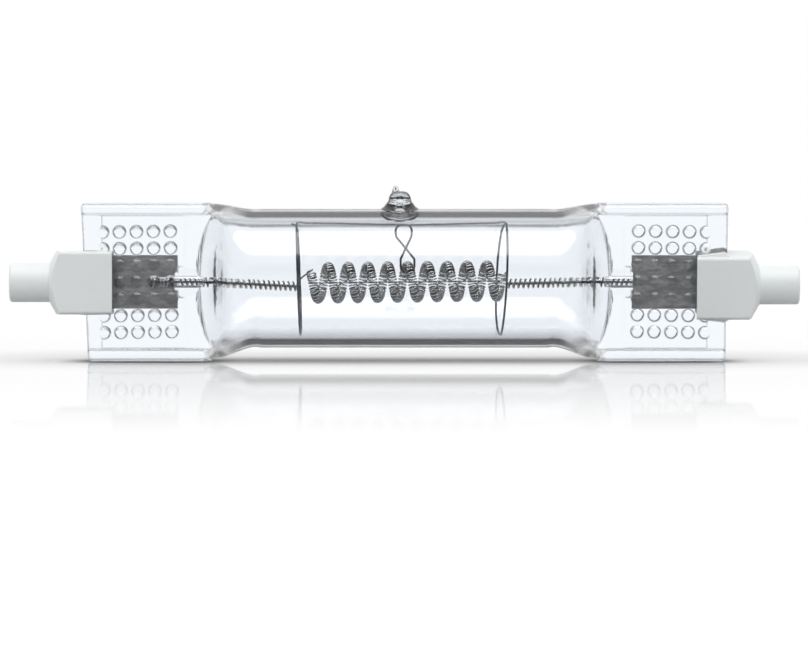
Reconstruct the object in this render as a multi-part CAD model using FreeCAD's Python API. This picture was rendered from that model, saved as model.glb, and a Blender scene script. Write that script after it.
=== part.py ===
"""Linear halogen bulb: a clear quartz tube with a wide dimpled press seal and a ceramic cap at each end.

Millimetres. X runs along the bulb, Z is up and the bulb stands on the lower beads of its two press seals.
The origin is on that floor, half way along the bulb and in the middle of its depth.
Every end is modelled on the +X side first and mirrored for the other side.
"""
import FreeCAD, Part
import math
import os

Vector = FreeCAD.Vector

# Whole bulb
overall_length = 143.0

# Quartz tube
tube_diameter = 25.15
tube_wall = 2.0
tube_axis_rise = 0.65

# Press seals: a web with a bead along its upper and lower edge
press_height = 28.7
press_length = 20.0
press_thickness = 5.2
bead_thickness = 6.5
bead_height = 1.91
bead_slope = 0.25
bead_corner_radius = 1.2
bead_start_lead = 3.5
bead_start_slant = 1.6
web_start_lead = 4.2
press_corner_radius = 0.9
left_end_slant = 1.3
right_end_slant = 0.5

# Dimpled field of a press seal: a shallow pocket with rows of round bumps on each face
pocket_depth = 0.2
pocket_ramp = 0.8
pocket_length = 16.2
pocket_from_press_end = 3.1
pocket_to_bead = 0.05
bump_radius = 1.18
bump_height = 0.38
bump_root = 0.06
bump_pitch_along = 3.07
bump_pitch_up = 3.03
bump_columns = 5
bump_rows = 7
bump_first_column = 3.7
bump_field_droop = 0.9

# Shoulder between tube and press seal, as shares of the way from round to flat
shoulder_length = 12.5
outer_shoulder = [(0.0, 0.0, 0.0), (0.16, 0.0, 0.01), (0.4, 0.44, 0.16), (0.56, 0.73, 0.46),
                  (0.7, 0.88, 0.77), (0.84, 0.96, 0.94), (1.0, 1.0, 1.0)]
inner_shoulder = [(0.0, 0.0, 0.0), (0.16, 0.0, 0.01), (0.38, 0.34, 0.16), (0.54, 0.66, 0.52),
                  (0.68, 0.89, 0.85), (0.85, 1.0, 1.0)]
cavity_end_depth = 0.3
cavity_end_bow = 2.2

# Ridge that the press leaves round the lead on both faces
ridge_half_width = 5.2
ridge_rise = 0.3
ridge_length = 3.4
ridge_taper = 1.0
ridge_overlap = 2.0
ridge_end_share = 0.72

# Pumping tip on top of the tube
tip_offset = -0.85
tip_flare_radius = 4.2
tip_flare_mid_radius = 2.9
tip_flare_mid_height = 0.35
tip_flare_rounding = 2.0
tip_neck_radius = 2.0
tip_neck_height = 1.6
tip_bulb_height = 3.2
tip_nib_height = 4.15
tip_nib_radius = 0.95
tip_nib_end_radius = 0.35
tip_nib_rounding = 0.25
tip_nib_offset = -0.75
tip_neck_rounding = 1.6
tip_crown_rounding = 1.4
tip_bore_radius = 1.25
tip_bore_end_radius = 0.4
tip_bore_height = 1.9

# Sealing foils
foil_height = 9.7
foil_thickness = 0.12
foil_from_press_start = 2.6
foil_from_press_end = 2.0

# Leg coils of the filament, the lead rods in them, and how the rods sag to the filament
leg_diameter = 1.95
leg_wire = 0.34
leg_clearance = 0.025
leg_over_foil = 4.9
leg_bend_before_press = 2.0
leg_bend_radius = 20.0
lead_rod_diameter = 0.48
left_leg_past_ring = 0.25
right_leg_past_ring = 0.8
left_leg_drop = 0.85
right_leg_drop = 0.35

# Coiled body of the filament
body_pitch = 3.59
body_mean_radius = 2.9
body_coil_diameter = 1.9
body_from_left_ring = 2.33
body_past_right_ring = 0.26
body_start_angle = 58.0
body_mid_z = 14.33
body_tilt = 0.63

# Tails: the plain wire between a leg and the body, as shares of the way it has to go along and across
tail_diameter = 0.36
tail_root = 0.02
tail_bend_radius = 0.25
tail_clear_along = 0.45
tail_clear_across = 0.8
tail_over_across = 0.25
tail_on_leg = 1.36

# Support wire
support_diameter = 0.4
ring_wall_gap = 0.17
left_ring_from_shoulder = 6.85
left_ring_lean = -0.35
left_ring_yaw = 0.0
right_ring_from_shoulder = 8.4
right_ring_lean = 0.5
right_ring_yaw = -0.75
left_stub_reach = 0.9
right_stub_reach = 0.3
ring_gap_angle = 34.0
ring_lead = 1.3
ring_bend_radius = 2.0
ring_near_top_angle = 11.3
ring_side_step = 0.45
ring_bridge_step = 1.35
ring_turn_radius = 1.1
bridge_sag = 0.45
loop_start_half_width = 1.54
loop_wide_half_width = 1.4
loop_wide_depth = 2.2
loop_lean = 0.7
loop_bend_radius = 1.2
loop_neck_radius = 0.6
loop_clearance = 0.1
loop_crossing_gap = 0.08

# Outer leads
outer_lead_diameter = 1.0
outer_lead_on_foil = 3.4
outer_lead_bend_radius = 5.0

# Ceramic caps: a slotted block with a round barrel
barrel_diameter = 7.1
barrel_length = 7.2
barrel_edge_radius = 0.5
head_height = 11.4
head_length = 11.5
head_edge_radius = 0.6
head_cone_length = 1.2
jaw_thickness = 1.08
slot_depth = 6.0
slot_floor_gap = 0.3
left_cap_z = 14.23
right_cap_z = 13.8
left_cap_roll = 0.0
right_cap_roll = 8.0
lead_bore_radius = 1.4

# Contacts
recess_diameter = 4.2
recess_depth = 2.8
contact_diameter = 3.4
contact_thickness = 0.9
contact_edge_radius = 0.3
contact_shank_diameter = 1.6
contact_shank_length = 1.5

# Cement
cement_least = 0.05
cement_set_back = 0.2
left_cement_heap = 0.1
right_cement_heap = 0.65
cement_heap_length = 1.0

# Sizes that follow from those above
tube_radius = tube_diameter / 2
bore_radius = tube_radius - tube_wall
press_mid_z = press_height / 2
tube_axis_z = press_mid_z + tube_axis_rise
half_length = overall_length / 2
head_outer_x = half_length - barrel_length
head_inner_x = head_outer_x - head_length
slot_floor_x = head_inner_x + slot_depth
press_end_x = slot_floor_x - slot_floor_gap
press_start_x = press_end_x - press_length
tube_end_x = press_start_x - shoulder_length
bead_start_x = press_start_x - bead_start_lead
web_start_x = press_start_x - web_start_lead
press_half = press_thickness / 2
floor_half = press_half - pocket_depth
web_half_height = press_mid_z - bead_height - bead_slope
pocket_end_x = press_end_x - pocket_from_press_end
pocket_start_x = pocket_end_x - pocket_length
leg_radius = leg_diameter / 2
leg_bore_radius = leg_radius + leg_clearance
foil_start_x = press_start_x + foil_from_press_start
foil_end_x = press_end_x - foil_from_press_end
foil_offset = leg_radius + foil_thickness / 2
leg_outer_x = foil_start_x + leg_over_foil
leg_bend_x = press_start_x - leg_bend_before_press
left_ring_x = -(tube_end_x - left_ring_from_shoulder)
right_ring_x = tube_end_x - right_ring_from_shoulder
body_start_x = left_ring_x + body_from_left_ring
body_end_x = right_ring_x + body_past_right_ring
body_middle_x = (body_start_x + body_end_x) / 2
body_turns = (body_end_x - body_start_x) / body_pitch
outer_lead_radius = outer_lead_diameter / 2
outer_lead_offset = leg_radius - outer_lead_radius
most_roll = math.radians(max(abs(left_cap_roll), abs(right_cap_roll)))
widest_half = max(press_half, floor_half + bump_height) + cement_least
slot_half = (widest_half + head_height / 2 * math.sin(most_roll)) / math.cos(most_roll)
head_half_depth = slot_half + jaw_thickness
recess_floor_x = half_length - recess_depth
contact_seat_x = recess_floor_x - contact_thickness
shank_end_x = contact_seat_x - contact_shank_length
ring_radius = bore_radius - ring_wall_gap - support_diameter / 2

# What differs between the two ends
LEFT = {"side": -1, "slant": left_end_slant, "cap_z": left_cap_z, "roll": left_cap_roll, "foil_side": 1,
        "leg_inner_x": -left_ring_x + left_leg_past_ring, "leg_drop": left_leg_drop,
        "cement_heap": left_cement_heap}
RIGHT = {"side": 1, "slant": right_end_slant, "cap_z": right_cap_z, "roll": right_cap_roll, "foil_side": -1,
         "leg_inner_x": right_ring_x + right_leg_past_ring, "leg_drop": right_leg_drop,
         "cement_heap": right_cement_heap}

LEFT_RING = {"x": left_ring_x, "lean": left_ring_lean, "yaw": left_ring_yaw, "stub": left_stub_reach}
RIGHT_RING = {"x": right_ring_x, "lean": right_ring_lean, "yaw": right_ring_yaw, "stub": right_stub_reach}

LONG_WAY = Vector(1, 0, 0)
DEEP_WAY = Vector(0, 1, 0)
UP = Vector(0, 0, 1)
SPARE = 2.0


def on_side(shape, side):
    """The shape as made at +X, or its mirror image at -X."""
    if side > 0:
        return shape
    return shape.mirror(Vector(0, 0, 0), LONG_WAY)


def corner_arc(before, corner, after, radius):
    """Start, middle and end of the arc that rounds one corner of an outline."""
    towards_before = (before - corner).normalize()
    towards_after = (after - corner).normalize()
    half_angle = towards_before.getAngle(towards_after) / 2
    reach = radius / math.tan(half_angle)
    inwards = (towards_before + towards_after).normalize()
    middle = corner + inwards * (radius / math.sin(half_angle) - radius)
    return corner + towards_before * reach, middle, corner + towards_after * reach


def rounded_wire(corners, closed):
    """Straight runs through (point, radius) corners, each corner rounded to its radius."""
    last = len(corners) - 1
    stations = []
    for index, (corner, radius) in enumerate(corners):
        at_end = not closed and index in (0, last)
        if radius == 0 or at_end:
            stations.append((corner, None, corner))
        else:
            after = corners[(index + 1) % len(corners)][0]
            stations.append(corner_arc(corners[index - 1][0], corner, after, radius))
    edges = []
    for index, (start, middle, end) in enumerate(stations):
        if middle is not None:
            edges.append(Part.Arc(start, middle, end).toShape())
        if closed or index < last:
            edges.append(Part.makeLine(end, stations[(index + 1) % len(stations)][0]))
    return Part.Wire(edges)


def prism(corners, travel):
    """A solid from a closed outline of (point, radius) corners, pushed along travel."""
    return Part.Face(rounded_wire(corners, True)).extrude(travel)


def turned(corners, centre, axis):
    """A solid of revolution from a closed outline of (point, radius) corners."""
    return Part.Face(rounded_wire(corners, True)).revolve(centre, axis, 360)


def ellipse_across(x, mid_z, half_height, half_depth):
    """An upright ellipse that lies across the bulb's length."""
    wire = Part.Wire([Part.Ellipse(Vector(0, 0, 0), half_height, half_depth).toShape()])
    wire.Placement = FreeCAD.Placement(Vector(x, 0, mid_z), FreeCAD.Rotation(UP, DEEP_WAY, -LONG_WAY, "XYZ"))
    return wire


def round_bar(path, radius, start, direction):
    """A round bar of one radius along a wire."""
    circle = Part.Wire([Part.makeCircle(radius, start, direction)])
    return path.makePipeShell([circle], True, False)


def bar_along(corners, radius):
    """A round bar along straight runs with rounded corners."""
    start_way = corners[1][0] - corners[0][0]
    return round_bar(rounded_wire(corners, False), radius, corners[0][0], start_way)


def shoulder(stations, round_radius, flat_half_height, flat_half_depth):
    """A tube end that turns from round to flat, and from the tube's axis to the press seal's middle."""
    sections = []
    for along, heightening, flattening in stations:
        x = tube_end_x + along * shoulder_length
        half_height = round_radius + (flat_half_height - round_radius) * heightening
        half_depth = round_radius + (flat_half_depth - round_radius) * flattening
        mid_z = tube_axis_z - tube_axis_rise * heightening
        sections.append(ellipse_across(x, mid_z, half_height, half_depth))
    return Part.makeLoft(sections, True, False)


def press_outline(slant):
    """The press seal seen from the side: rounded corners, a slanted end and slanted starts of the beads."""
    y = -bead_thickness
    top = press_mid_z + web_half_height
    low = press_mid_z - web_half_height
    slant_end_x = bead_start_x + bead_start_slant
    corners = [(Vector(bead_start_x, y, 0), 0), (Vector(press_end_x - slant, y, 0), press_corner_radius),
               (Vector(press_end_x, y, press_height), press_corner_radius),
               (Vector(bead_start_x, y, press_height), 0), (Vector(slant_end_x, y, top), 0),
               (Vector(web_start_x, y, top), 0), (Vector(web_start_x, y, low), 0),
               (Vector(slant_end_x, y, low), 0)]
    return prism(corners, DEEP_WAY * (2 * bead_thickness))


def press_section():
    """The press seal's section: a web with a round-edged bead above and below."""
    corners = []
    bead_half = bead_thickness / 2
    bead_inner = web_half_height + bead_slope
    for up, deep in ((1, 1), (1, -1), (-1, -1), (-1, 1)):
        quarter = [(deep * press_half, up * web_half_height, 0), (deep * bead_half, up * bead_inner, 0),
                   (deep * bead_half, up * press_mid_z, bead_corner_radius)]
        if up * deep < 0:
            quarter.reverse()
        corners += [(Vector(bead_start_x, y, press_mid_z + z), radius) for y, z, radius in quarter]
    return prism(corners, LONG_WAY * (press_end_x - bead_start_x))


def rectangle_facing(y, x_from, x_to, half_height):
    """An upright rectangle that faces along the depth."""
    low = press_mid_z - half_height
    high = press_mid_z + half_height
    corners = [(Vector(x, y, z), 0) for x, z in ((x_from, low), (x_to, low), (x_to, high), (x_from, high))]
    return rounded_wire(corners, True)


def pocket(face):
    """The shallow pocket of one face: ramps at its ends, sides that carry on the slope of the beads."""
    half_height = web_half_height - pocket_to_bead
    side_run = pocket_depth * bead_slope / (bead_thickness / 2 - press_half)
    low = rectangle_facing(face * floor_half, pocket_start_x + pocket_ramp, pocket_end_x - pocket_ramp,
                           half_height - side_run)
    high = rectangle_facing(face * (press_half + pocket_depth), pocket_start_x - pocket_ramp,
                            pocket_end_x + pocket_ramp, half_height + side_run)
    return Part.makeLoft([low, high], True, True)


def bump_place(column, row):
    """Where one bump stands. The rows of the field droop a little towards the cap."""
    along = (column - (bump_columns - 1) / 2) * bump_pitch_along
    up = (row - (bump_rows - 1) / 2) * bump_pitch_up
    droop = math.radians(bump_field_droop)
    middle_x = press_start_x + bump_first_column + (bump_columns - 1) / 2 * bump_pitch_along
    x = middle_x + along * math.cos(droop) + up * math.sin(droop)
    return x, press_mid_z + up * math.cos(droop) - along * math.sin(droop)


def bumps():
    """The round bumps on both faces. The cap's jaws cover the middle of the last column."""
    sphere_radius = (bump_radius ** 2 + bump_height ** 2) / (2 * bump_height)
    base_angle = math.degrees(math.asin(1 - (bump_height + bump_root) / sphere_radius))
    made = []
    for column in range(bump_columns):
        for row in range(bump_rows):
            x, z = bump_place(column, row)
            past_jaw_edge = x + bump_radius > head_inner_x
            if past_jaw_edge and abs(z - press_mid_z) + bump_radius < head_height / 2:
                continue
            for face in (-1, 1):
                centre = Vector(x, face * (floor_half + bump_height - sphere_radius), z)
                made.append(Part.makeSphere(sphere_radius, centre, DEEP_WAY * face, base_angle, 90, 360))
    return made


def lead_ridge():
    """The raised ridge round the lead, on both faces, from the shoulder to the start of the foil."""
    full = (ridge_half_width, press_half + ridge_rise)
    low = (ridge_half_width * ridge_end_share, floor_half)
    start_x = press_start_x - ridge_overlap
    end_x = press_start_x + ridge_length
    stations = [(start_x, full), (end_x - ridge_taper, full), (end_x, low)]
    return Part.makeLoft([ellipse_across(x, press_mid_z, *size) for x, size in stations], True, True)


def pressed_end(slant):
    """Shoulder, press seal, pockets and bumps of one end, as solid quartz."""
    web = press_section().common(press_outline(slant))
    web = web.cut([pocket(-1), pocket(1)])
    round_to_flat = shoulder(outer_shoulder, tube_radius, press_mid_z, press_half)
    return web.fuse([round_to_flat, lead_ridge()] + bumps())


def cavity_end():
    """The hollow inside one shoulder, which ends in a bowed edge where the press closed it."""
    hollow = shoulder(inner_shoulder, bore_radius, web_half_height, cavity_end_depth)
    mid_x = tube_end_x + inner_shoulder[-1][0] * shoulder_length
    bow_radius = (web_half_height ** 2 + cavity_end_bow ** 2) / (2 * cavity_end_bow)
    low = Vector(mid_x - bow_radius, -tube_diameter, press_mid_z)
    bow = Part.makeCylinder(bow_radius, 2 * tube_diameter, low, DEEP_WAY)
    return hollow.common(bow)


def pumping_tip():
    """The melted tip where the tube was pumped out and closed: a flared blob and the nib drawn from it."""
    top = tube_axis_z + tube_radius
    base_z = top - tip_neck_height / 2
    crown_z = top + tip_bulb_height
    flare_x = tip_offset + tip_flare_radius
    neck_x = tip_offset + tip_neck_radius
    mid_x = tip_offset + tip_flare_mid_radius
    outline = [(Vector(tip_offset, 0, base_z), 0), (Vector(flare_x, 0, base_z), 0),
               (Vector(flare_x, 0, top - tip_neck_height / 4), 0),
               (Vector(mid_x, 0, top + tip_flare_mid_height), tip_flare_rounding),
               (Vector(neck_x, 0, top + tip_neck_height), tip_neck_rounding),
               (Vector(neck_x, 0, crown_z), tip_crown_rounding), (Vector(tip_offset, 0, crown_z), 0)]
    blob = turned(outline, Vector(tip_offset, 0, 0), UP)
    nib_base = Vector(tip_offset + tip_nib_offset, 0, crown_z - tip_nib_radius)
    nib = Part.makeCone(tip_nib_radius, tip_nib_end_radius, top + tip_nib_height - nib_base.z, nib_base, UP)
    nib_edge = [edge for edge in nib.Edges if edge.BoundBox.ZMin > crown_z]
    return blob, nib.makeFillet(tip_nib_rounding, nib_edge)


def tip_bore():
    """The narrow pumping hole that runs up into the tip."""
    low = tube_axis_z + bore_radius - tip_bore_radius
    height = tube_wall + tip_bore_radius + tip_bore_height
    return Part.makeCone(tip_bore_radius, tip_bore_end_radius, height, Vector(tip_offset, 0, low), UP)


def foil(end):
    """The thin sealing foil of one end, flat against its leads."""
    side = end["foil_side"]
    low_y = side * foil_offset - foil_thickness / 2
    corner = Vector(foil_start_x, low_y, press_mid_z - foil_height / 2)
    plate = Part.makeBox(foil_end_x - foil_start_x, foil_thickness, foil_height, corner)
    return on_side(plate, end["side"])


def leg_path(end):
    """Corners of the line down a leg's middle: level in the press seal, then sloping to the filament."""
    drop_z = press_mid_z - end["leg_drop"]
    return [(Vector(leg_outer_x, 0, press_mid_z), 0), (Vector(leg_bend_x, 0, press_mid_z), leg_bend_radius),
            (Vector(end["leg_inner_x"], 0, drop_z), 0)]


def lead_rod(end):
    """The straight inner lead that the leg coil is slipped over."""
    return on_side(bar_along(leg_path(end), lead_rod_diameter / 2), end["side"])


def leg_coil(end):
    """The outer form of a leg coil: its close turns as one sleeve."""
    outside = bar_along(leg_path(end), leg_radius)
    return on_side(outside.cut(bar_along(leg_path(end), leg_radius - leg_wire)), end["side"])


def leg_bore():
    """The round channel that the quartz keeps round the leg coil inside the press seal."""
    start = Vector(leg_bend_x - SPARE / 2, 0, press_mid_z)
    return Part.makeCylinder(leg_bore_radius, leg_outer_x - start.x, start, LONG_WAY)


def outer_lead(end):
    """The outer lead, welded to the foil and led out to the contact in the cap."""
    y = end["foil_side"] * outer_lead_offset
    corners = [(Vector(foil_end_x - outer_lead_on_foil, y, press_mid_z), 0),
               (Vector(press_end_x, y, press_mid_z), outer_lead_bend_radius),
               (Vector(shank_end_x, 0, end["cap_z"]), 0)]
    return on_side(bar_along(corners, outer_lead_radius), end["side"]).cut(contact(end))


def body_point(turn):
    """A point on the coiled body's centre line, turn turns from its start."""
    angle = math.radians(body_start_angle + 360 * turn)
    x = body_start_x + body_pitch * turn
    axis_z = body_mid_z + (x - body_middle_x) * math.tan(math.radians(body_tilt))
    return Vector(x, -body_mean_radius * math.sin(angle), axis_z + body_mean_radius * math.cos(angle))


def filament_body():
    """The coiled body: the outer form of the fine coil, wound into a wide helix."""
    helix = Part.makeHelix(body_pitch, body_pitch * body_turns, body_mean_radius)
    onward = Vector(0, body_mean_radius, body_pitch / (2 * math.pi))
    circle = Part.makeCircle(body_coil_diameter / 2, Vector(body_mean_radius, 0, 0), onward)
    body = Part.Wire(helix.Edges).makePipeShell([Part.Wire([circle])], True, True)
    start = math.radians(body_start_angle)
    outwards = Vector(0, -math.sin(start), math.cos(start))
    turn = FreeCAD.Rotation(outwards, LONG_WAY.cross(outwards), LONG_WAY, "XYZ")
    body.Placement = FreeCAD.Placement(Vector(body_start_x, 0, body_mid_z), turn)
    body.rotate(Vector(body_middle_x, 0, body_mid_z), DEEP_WAY, -body_tilt)
    return body


def tail(end, inside_turn):
    """The short plain wire between a leg coil and the coiled body."""
    side = end["side"]
    leg_x = side * end["leg_inner_x"]
    leg_top = press_mid_z - end["leg_drop"] + leg_radius - leg_wire / 2
    start = body_point(inside_turn)
    clear_x = start.x + (leg_x - start.x) * tail_clear_along
    clear = Vector(clear_x, start.y * tail_clear_across, start.z + tail_diameter / 3)
    over_leg = Vector(leg_x, start.y * tail_over_across, (start.z + leg_top + tail_diameter) / 2)
    on_leg = Vector(leg_x + side * tail_on_leg, 0, leg_top)
    corners = [(start, 0), (clear, tail_bend_radius), (over_leg, tail_bend_radius), (on_leg, 0)]
    return bar_along(corners, tail_diameter / 2)


def filament():
    """The filament, one wire from leg to leg: leg coil, tail, coiled body, tail, leg coil."""
    left_tail = tail(LEFT, tail_root)
    right_tail = tail(RIGHT, body_turns - tail_root)
    return leg_coil(LEFT).fuse([left_tail, filament_body(), right_tail, leg_coil(RIGHT)])


def ring_point(ring, angle):
    """A point on a support ring, by its angle from the top towards the front."""
    turn = math.radians(angle)
    y = -ring_radius * math.sin(turn)
    up = ring_radius * math.cos(turn)
    x = ring["x"] + ring["lean"] * up / ring_radius + ring["yaw"] * y / ring_radius
    return Vector(x, y, tube_axis_z + up)


def ring_with_ends(ring, side):
    """The round part of a support ring, and the corners from it to the bridge and to its free stub."""
    front = ring_point(ring, ring_gap_angle)
    back = ring_point(ring, -ring_gap_angle)
    arc = Part.Arc(front, ring_point(ring, 180), back)
    front_way = arc.tangent(arc.FirstParameter)[0] * -ring_lead
    back_way = arc.tangent(arc.LastParameter)[0] * ring_lead
    inwards = Vector(-side, 0, 0)
    to_bridge = [(front, 0), (front + front_way, ring_bend_radius),
                 (ring_point(ring, ring_near_top_angle) + inwards * ring_side_step, ring_bend_radius),
                 (ring_point(ring, 0) + inwards * ring_bridge_step, ring_turn_radius)]
    to_stub = [(back, 0), (back + back_way, ring_bend_radius),
               (ring_point(ring, -ring_near_top_angle) - inwards * ring["stub"] / 3, ring_bend_radius),
               (ring_point(ring, -ring_near_top_angle / 2) - inwards * ring["stub"], 0)]
    return arc, to_bridge, to_stub


def centre_loop(bridge_z, lobe):
    """Corners of the figure-of-eight loop: down from the bridge, round the filament's lobe and back up."""
    apart = (support_diameter + loop_crossing_gap) / 2
    hold = (body_coil_diameter + support_diameter) / 2 + loop_clearance
    upper_x = lobe.x - loop_lean
    top = Vector(upper_x + loop_start_half_width, -apart, bridge_z)
    wide = Vector(upper_x + loop_wide_half_width, -apart, bridge_z - loop_wide_depth)
    neck = Vector(lobe.x - hold, -apart, lobe.z + hold)
    under = Vector(lobe.x - hold, -apart / 2, lobe.z - hold)
    front_run = [(top, loop_bend_radius), (wide, loop_bend_radius), (neck, loop_neck_radius), (under, hold)]
    back_run = [(Vector(2 * lobe.x - under.x, -under.y, under.z), hold),
                (Vector(2 * lobe.x - neck.x, -neck.y, neck.z), loop_neck_radius),
                (Vector(2 * upper_x - wide.x, -wide.y, wide.z), loop_bend_radius),
                (Vector(2 * upper_x - top.x, -top.y, top.z), loop_bend_radius)]
    return front_run + back_run


def support_wire():
    """One bent wire: left ring, bridge, centre loop round the filament, bridge and right ring."""
    lobe_turn = round(body_turns / 2) - body_start_angle / 360
    lobe = body_point(lobe_turn)
    left_arc, left_bridge, left_stub = ring_with_ends(LEFT_RING, -1)
    right_arc, right_bridge, right_stub = ring_with_ends(RIGHT_RING, 1)
    bridge = left_bridge + centre_loop(tube_axis_z + ring_radius - bridge_sag, lobe) + right_bridge[::-1]
    edges = rounded_wire(left_stub[::-1], False).Edges + [left_arc.toShape()]
    edges += rounded_wire(bridge, False).Edges + [right_arc.toShape()]
    edges += rounded_wire(right_stub, False).Edges
    stub_end = left_stub[-1][0]
    stub_way = left_stub[-2][0] - stub_end
    return round_bar(Part.Wire(edges), support_diameter / 2, stub_end, stub_way)


def cap(end):
    """A ceramic cap: slotted block, coned shoulder and round barrel with a recess for the contact."""
    barrel_radius = barrel_diameter / 2
    block_corner = math.hypot(head_height, 2 * head_half_depth) / 2
    cone_slope = head_cone_length / (head_height / 2 - barrel_radius)
    corner_x = head_outer_x - (block_corner - barrel_radius) * cone_slope
    block_start = Vector(head_inner_x, -head_half_depth, -head_height / 2)
    block = Part.makeBox(head_length, 2 * head_half_depth, head_height, block_start)
    long_edges = [edge for edge in block.Edges if edge.BoundBox.XLength > head_length / 2]
    block = block.makeFillet(head_edge_radius, long_edges)
    before_x = head_inner_x - SPARE
    coned = [(Vector(before_x, 0, 0), 0), (Vector(before_x, 0, block_corner), 0),
             (Vector(corner_x, 0, block_corner), 0), (Vector(head_outer_x, 0, barrel_radius), 0),
             (Vector(head_outer_x, 0, 0), 0)]
    inside_x = slot_floor_x + SPARE / 2
    barrel = [(Vector(inside_x, 0, 0), 0), (Vector(inside_x, 0, barrel_radius), 0),
              (Vector(half_length, 0, barrel_radius), barrel_edge_radius), (Vector(half_length, 0, 0), 0)]
    origin = Vector(0, 0, 0)
    body = block.common(turned(coned, origin, LONG_WAY)).fuse(turned(barrel, origin, LONG_WAY))
    body = body.removeSplitter()
    slot_start = Vector(before_x, -slot_half, -head_height / 2 - SPARE)
    slot = Part.makeBox(slot_depth + SPARE, 2 * slot_half, head_height + 2 * SPARE, slot_start)
    hole_start = Vector(slot_floor_x, 0, 0)
    lead_hole = Part.makeCylinder(lead_bore_radius, half_length - slot_floor_x, hole_start, LONG_WAY)
    recess = Part.makeCylinder(recess_diameter / 2, recess_depth, Vector(recess_floor_x, 0, 0), LONG_WAY)
    seat = Part.makeCylinder(contact_diameter / 2, contact_thickness, Vector(contact_seat_x, 0, 0), LONG_WAY)
    return seat_on_cap(body.cut([slot, lead_hole, recess, seat]), end)


def seat_on_cap(shape, end):
    """Puts a shape made on the X axis onto one end's cap: its side, its roll and its height."""
    placed = on_side(shape, end["side"])
    placed.rotate(Vector(0, 0, 0), LONG_WAY, end["roll"])
    placed.translate(Vector(0, 0, end["cap_z"]))
    return placed


def contact(end):
    """The contact button: a disc at the bottom of the recess with a shank that takes the lead."""
    shank = contact_shank_diameter / 2
    face = contact_diameter / 2
    outline = [(Vector(shank_end_x, 0, 0), 0), (Vector(shank_end_x, 0, shank), 0),
               (Vector(contact_seat_x, 0, shank), 0), (Vector(contact_seat_x, 0, face), 0),
               (Vector(recess_floor_x, 0, face), contact_edge_radius), (Vector(recess_floor_x, 0, 0), 0)]
    return seat_on_cap(turned(outline, Vector(0, 0, 0), LONG_WAY), end)


def cement(end, inner_pieces):
    """The cement that fills the cap's slot round the press seal and heaps up a little at its open ends."""
    heap = end["cement_heap"]
    start_x = head_inner_x + cement_set_back
    heap_x = slot_floor_x - cement_heap_length
    low = -head_height / 2
    high = head_height / 2
    outline = [(Vector(start_x, -slot_half, low), 0), (Vector(heap_x, -slot_half, low - heap), 0),
               (Vector(slot_floor_x, -slot_half, low), 0), (Vector(slot_floor_x, -slot_half, high), 0),
               (Vector(heap_x, -slot_half, high + heap), 0), (Vector(start_x, -slot_half, high), 0)]
    filling = seat_on_cap(prism(outline, DEEP_WAY * (2 * slot_half)), end)
    return filling.cut(inner_pieces)


def quartz_envelope(inner_pieces):
    """The quartz: tube, two pressed ends and pumping tip, hollow, and sealed round the foils and leads."""
    tube = Part.makeCylinder(tube_radius, 2 * tube_end_x, Vector(-tube_end_x, 0, tube_axis_z), LONG_WAY)
    blob, nib = pumping_tip()
    right_end = pressed_end(right_end_slant)
    left_end = on_side(pressed_end(left_end_slant), -1)
    outside = tube.fuse([right_end, left_end, blob, nib])
    hollow = Part.makeCylinder(bore_radius, 2 * tube_end_x, Vector(-tube_end_x, 0, tube_axis_z), LONG_WAY)
    hollows = [hollow, tip_bore()]
    for side in (-1, 1):
        hollows += [on_side(cavity_end(), side), on_side(leg_bore(), side)]
    return outside.cut(hollows + inner_pieces)


def export(name, shape):
    """Writes one piece, after making sure that it is one sound solid."""
    solids = shape.Solids
    counts = f"solids {len(solids)} faces {len(shape.Faces)}"
    print(f"{name:18s} {counts} valid {shape.isValid()} mm3 {shape.Volume:.2f}")
    if len(solids) != 1 or not shape.isValid() or shape.Volume <= 0:
        raise ValueError(f"{name} is not one sound solid")
    solids[0].exportStep(os.path.join("parts", f"{name}.step"))


def main():
    os.makedirs("parts", exist_ok=True)
    ends = {"left": LEFT, "right": RIGHT}
    foils = {name: foil(end) for name, end in ends.items()}
    leads = {name: outer_lead(end) for name, end in ends.items()}
    quartz = quartz_envelope(list(foils.values()) + list(leads.values()))
    export("quartz_envelope", quartz)
    export("filament", filament())
    export("support_wire", support_wire())
    for name, end in ends.items():
        export(f"{name}_foil", foils[name])
        export(f"{name}_lead_rod", lead_rod(end))
        export(f"{name}_outer_lead", leads[name])
        export(f"{name}_cap", cap(end))
        export(f"{name}_contact", contact(end))
        export(f"{name}_cement", cement(end, [quartz, foils[name], leads[name]]))


main()
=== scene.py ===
# %% [markdown]
# # A linear halogen bulb on a glossy white table
#
# The bulb is a clear quartz tube with a flat, dimpled press seal at each end, a white ceramic cap on
# each seal, and a coiled tungsten filament that a bent wire holds in the middle. The solids come from
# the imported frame. This script adds the finish of every surface, the fine winding of the filament, and
# the dimpled foils in the seals. Places are read from the frame where it has them. What it can't give,
# such as the sizes of the fine winding and the dimples and where the glass and the shadow change, is
# written here once, in millimetres.

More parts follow.
